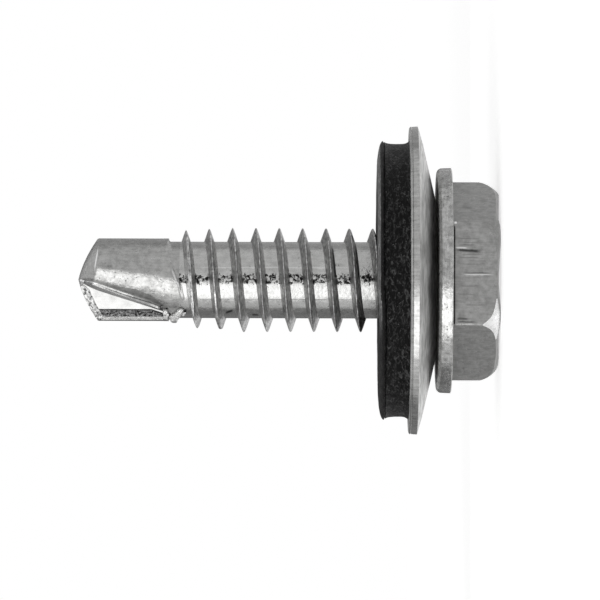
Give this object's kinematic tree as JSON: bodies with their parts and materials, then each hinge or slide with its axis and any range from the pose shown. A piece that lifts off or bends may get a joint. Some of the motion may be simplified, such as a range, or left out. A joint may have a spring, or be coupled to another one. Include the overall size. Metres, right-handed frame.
{
  "type": "self drilling screw",
  "caption": "Hex washer head self drilling screw for sheet metal, with a turning steel washer and bonded black rubber seal under the head.",
  "frame": {"origin": "centre of the flat top face of the head, on which the screw stands", "axes": "+Z along the screw's axis from the head to the drill point; the cutting lips lie along X"},
  "size_m": [0.014, 0.014, 0.0191],
  "materials": {
    "screw_steel": "bright zinc plated, as forged and rolled",
    "washer_steel": "bright zinc plated, as pressed",
    "seal_rubber": "matt black EPDM with a rough moulded surface"
  },
  "bodies": {
    "screw": {"screw": "screw_steel"},
    "sealing_washer": {"steel_washer": "washer_steel", "rubber_seal": "seal_rubber"}
  },
  "joints": [
    {"name": "washer_spin", "type": "hinge", "parent": "screw", "child": "sealing_washer", "pos_m": [0, 0, 0.00284], "axis": [0, 0, 1], "continuous": true}
  ]
}
